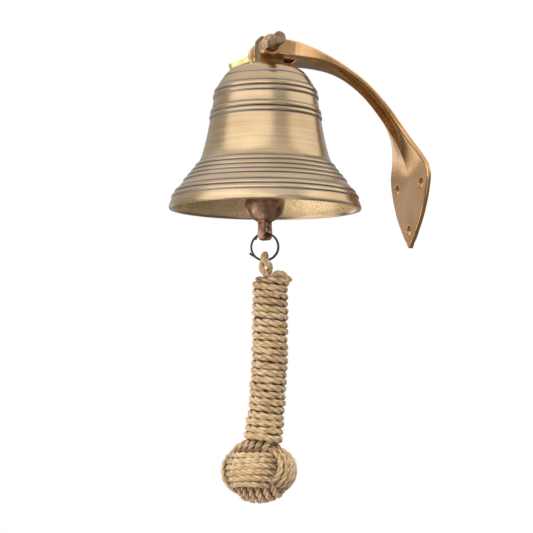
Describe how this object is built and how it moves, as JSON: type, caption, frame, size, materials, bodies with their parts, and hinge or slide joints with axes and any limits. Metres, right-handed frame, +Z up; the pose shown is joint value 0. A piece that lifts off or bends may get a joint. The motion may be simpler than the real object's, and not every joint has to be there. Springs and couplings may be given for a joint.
{
  "type": "ship bell",
  "caption": "Wall-mounted ship bell: turned brass bell on a forked leaf-shaped bracket, hinge pin with wing nut, hung clapper, split ring and rope bell-pull with a ball knot.",
  "frame": {"origin": "on the wall, midway between the bracket's two upper screw holes", "axes": "+Z up, -Y out of the wall into the room, X along the hinge pin"},
  "size_m": [0.1498, 0.1989, 0.3602],
  "materials": {
    "bracket_brass": "antiqued brass, satin with a darker patina in the hollows",
    "pin_brass": "dark antiqued brass",
    "braze_metal": "silvery brazing metal, as flowed",
    "nut_brass": "raw yellow brass, tumbled",
    "block_brass": "dark antiqued brass",
    "bell_brass": "turned and brushed antique brass, dark lines in the grooves",
    "hidden_steel": "plain bright steel",
    "clapper_bronze": "dark coppery brown, as cast",
    "ring_bronze": "near-black bronzed wire",
    "jute_rope": "natural three-strand jute",
    "core_wood": "plain turned softwood"
  },
  "bodies": {
    "bracket": {"wall_bracket": "bracket_brass", "pivot_pin": "pin_brass", "pin_braze": "braze_metal"},
    "washer": {"nut_washer": "nut_brass"},
    "wing_nut": {"wing_nut": "nut_brass"},
    "bell": {"bell_body": "bell_brass", "hanger_block": "block_brass", "eye_bolt": "pin_brass", "crown_washer": "hidden_steel", "crown_nut": "hidden_steel"},
    "link": {"clapper_link": "clapper_bronze"},
    "clapper": {"clapper_rod": "clapper_bronze", "clapper_ball": "clapper_bronze"},
    "ring": {"split_ring": "ring_bronze"},
    "pull": {"becket_loop": "jute_rope", "handle_core": "jute_rope", "handle_wrap": "jute_rope", "knot_core": "core_wood", "knot_wrap": "jute_rope"}
  },
  "joints": [
    {"name": "bell_swing", "type": "hinge", "parent": "bracket", "child": "bell", "pos_m": [0, -0.124, 0.1033], "axis": [1, 0, 0], "range_deg": [-50, 12]},
    {"name": "link_swing", "type": "hinge", "parent": "bell", "child": "link", "pos_m": [0, -0.124, 0.0608], "axis": [1, 0, 0], "range_deg": [-8, 8]},
    {"name": "clapper_swing", "type": "hinge", "parent": "link", "child": "clapper", "pos_m": [0, -0.124, 0.0517], "axis": [0, 1, 0], "range_deg": [-33, 33]},
    {"name": "ring_swing", "type": "hinge", "parent": "clapper", "child": "ring", "pos_m": [0, -0.124, -0.0413], "axis": [0.9063, -0.4226, 0], "range_deg": [-8, 8]},
    {"name": "pull_swing", "type": "hinge", "parent": "ring", "child": "pull", "pos_m": [0, -0.124, -0.0634], "axis": [0.4226, 0.9063, 0], "range_deg": [-25, 25]},
    {"name": "washer_slide", "type": "slide", "parent": "bracket", "child": "washer", "axis": [-1, 0, 0], "range_m": [0, 0.003]},
    {"name": "wing_nut_turn", "type": "hinge", "parent": "washer", "child": "wing_nut", "pos_m": [0, -0.124, 0.1033], "axis": [-1, 0, 0], "range_deg": [0, 721]}
  ],
  "couplings": [
    {"joint": "wing_nut_turn", "follows": "washer_slide", "rad_per_m": 4188.8}
  ]
}
